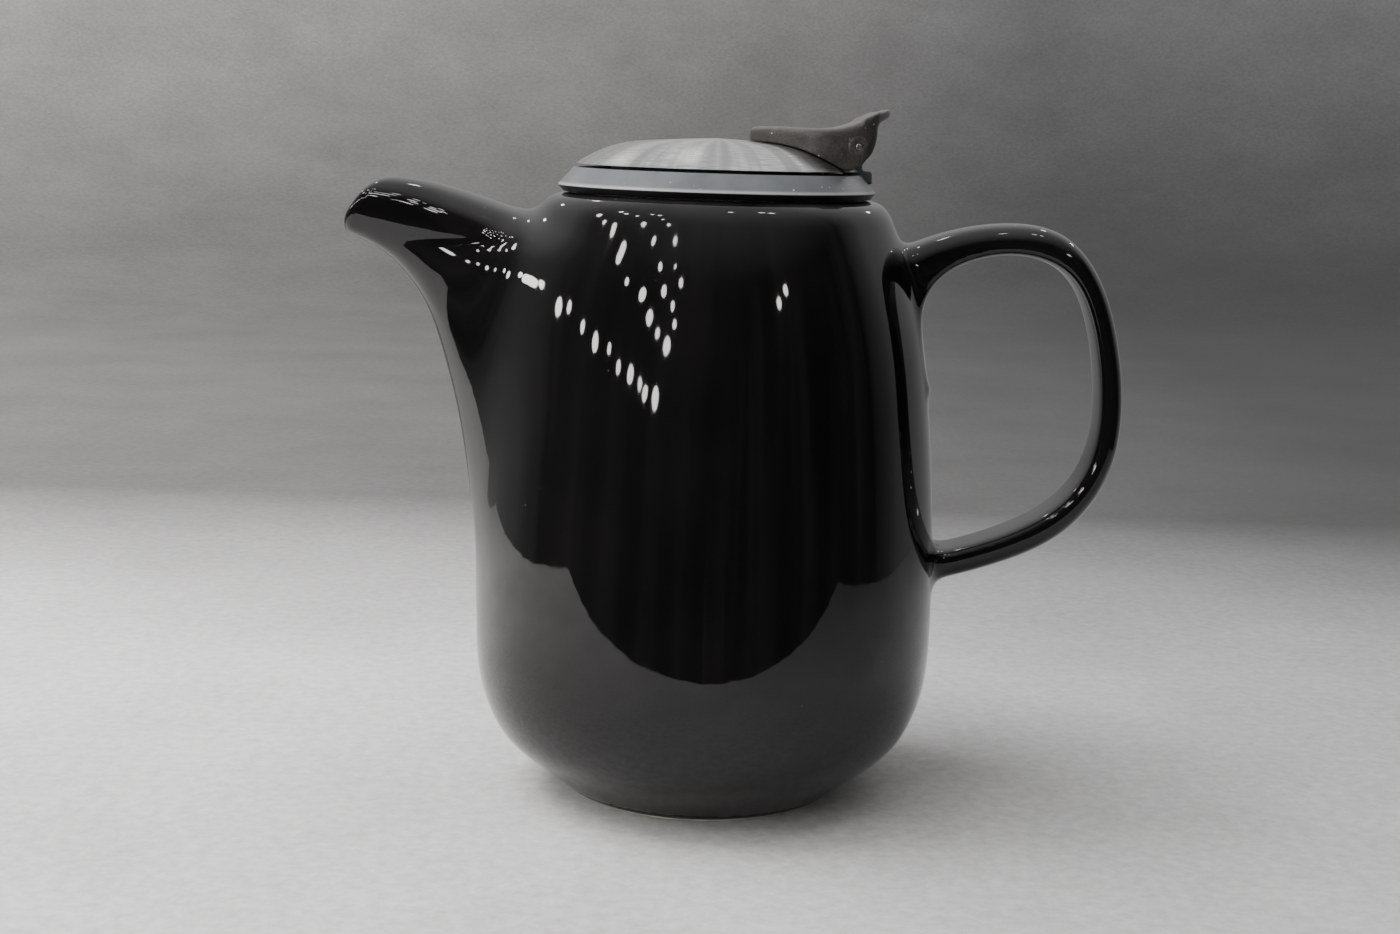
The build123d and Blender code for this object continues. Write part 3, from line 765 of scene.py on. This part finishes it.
def build_stage():
    """Pale floor that sweeps up into a wall all round; reflections show only the table top on it."""
    drop, flat, bend, steps, segments = 0.00005, 1.3, 1.1, 12, 96
    profile = [(0.0, -drop), (flat, -drop)]
    for i in range(1, steps + 1):
        t = 0.5 * math.pi * i / steps
        profile.append((flat + bend * math.sin(t), bend - bend * math.cos(t)))
    profile.append((flat + bend, 2 * bend))
    verts, faces = [], []
    for s in range(segments):
        a = 2 * math.pi * s / segments
        verts += [(r * math.cos(a), r * math.sin(a), z) for r, z in profile]
    n = len(profile)
    for s in range(segments):
        nxt = (s + 1) % segments
        for i in range(n - 1):
            faces.append((s * n + i, s * n + i + 1, nxt * n + i + 1, nxt * n + i))
    sweep = stage_piece("sweep", verts, faces)
    sweep.data.polygons.foreach_set("use_smooth", [True] * len(faces))
    sweep.visible_glossy = False
    left, front, right, back = TABLE
    stage_piece("table_top", [(left, front, 0), (right, front, 0), (right, back, 0), (left, back, 0)],
                [(0, 1, 2, 3)])


def area_light(name, azimuth, elevation, distance, size, power, shape="RECTANGLE", tint=(1, 1, 1)):
    """A soft light that looks at the pot; azimuth 0 is the camera's side, -90 the spout's side."""
    a, e = math.radians(azimuth), math.radians(elevation)
    aim = Vector((0.0, 0.0, 0.09))
    back = Vector((math.sin(a) * math.cos(e), -math.cos(a) * math.cos(e), math.sin(e)))
    data = bpy.data.lights.new(name, "AREA")
    data.shape = shape
    data.size, data.size_y = size
    data.energy = power
    data.color = tint
    obj = bpy.data.objects.new(name, data)
    obj.location = aim + back * distance
    obj.rotation_mode = "QUATERNION"
    obj.rotation_quaternion = back.to_track_quat("Z", "Y")
    obj.visible_camera = False
    bpy.context.scene.collection.objects.link(obj)
    return obj


def ceiling_lamp(name, x, y, width):
    """A round lamp, width degrees across, in the direction of (x, y) metres on a ceiling above the pot."""
    azimuth = math.degrees(math.atan2(x, -y))
    elevation = math.degrees(math.atan2(CEILING, math.hypot(x, y)))
    size = 2 * LAMP_DISTANCE * math.tan(math.radians(width / 2))
    power = LAMP_RADIANCE * size * size * math.pi ** 2 / 4
    area_light(name, azimuth, elevation, LAMP_DISTANCE, (size, size), power, "DISK", (1.0, 0.985, 0.95))


def build_lights():
    """Softboxes kept out of reflections, and rows of small round lamps on the spout's side."""
    key = area_light("top_softbox", -95, 57, 1.6, (1.1, 0.8), 38)
    key.visible_glossy = False
    fill = area_light("front_softbox", -50, 40, 1.8, (0.9, 0.9), 9)
    fill.visible_glossy = False
    for row, (x, first, last, count, width) in enumerate(LAMP_ROWS):
        for i in range(count):
            sway = 0.11 * abs(x) * math.sin(2.4 * i + 1.7 * row)
            y = first + (last - first) * (i / (count - 1)) ** 1.4 + 0.25 * sway
            ceiling_lamp(f"lamp_{row}_{i}", x + 0.5 * sway, y, width * (1 + 0.25 * math.sin(4.1 * i + row)))
    for i, (x, y) in enumerate(LAMP_OTHERS):
        ceiling_lamp(f"lamp_other_{i}", x, y, 2.6)


def build_world():
    """A dim room in front with soft upright shapes, and a bright one behind and overhead."""
    world = bpy.data.worlds.new("studio")
    bpy.context.scene.world = world
    world.use_nodes = True
    tree = world.node_tree
    direction = node(tree, "ShaderNodeTexCoord").outputs["Generated"]
    split = node(tree, "ShaderNodeSeparateXYZ", {"Vector": direction})
    x, y, z = split.outputs[0], split.outputs[1], split.outputs[2]
    angle = maths(tree, "ARCTAN2", x, y)
    parts = {0: maths(tree, "MULTIPLY", angle, 5.0), 1: maths(tree, "MULTIPLY", z, 0.9)}
    place = node(tree, "ShaderNodeCombineXYZ", parts).outputs[0]
    shapes = noise(tree, place, 1.0, 3.0)
    front = mix(tree, ramp(tree, shapes, 0.42, 0.64), grey(0.004), grey(0.10, 0.06))
    front = mix(tree, ramp(tree, z, 0.5, 0.95), front, grey(0.90, -0.02))
    behind = mix(tree, ramp(tree, z, 0.0, 0.6), grey(0.30), grey(0.85))
    colour = mix(tree, ramp(tree, y, 0.0, 0.35), front, behind)
    background = tree.nodes["Background"]
    tree.links.new(colour, background.inputs["Color"])


def build_camera():
    """The camera stands level with the lid and looks slightly down."""
    data = bpy.data.cameras.new("camera")
    data.lens = 51.88
    data.sensor_width = 36.0
    data.clip_start, data.clip_end = 0.01, 30.0
    obj = bpy.data.objects.new("camera", data)
    tilt = Matrix.Rotation(math.radians(80.471), 4, "X")
    roll = Matrix.Rotation(math.radians(1.80), 4, "Z")
    obj.matrix_world = Matrix.Translation((-0.00216, -0.545, 0.1803)) @ tilt @ roll
    bpy.context.scene.collection.objects.link(obj)
    bpy.context.scene.camera = obj


build_pot()
build_lid()
build_flap()
build_infuser()
dress_cad()
build_stage()
build_lights()
build_world()
build_camera()
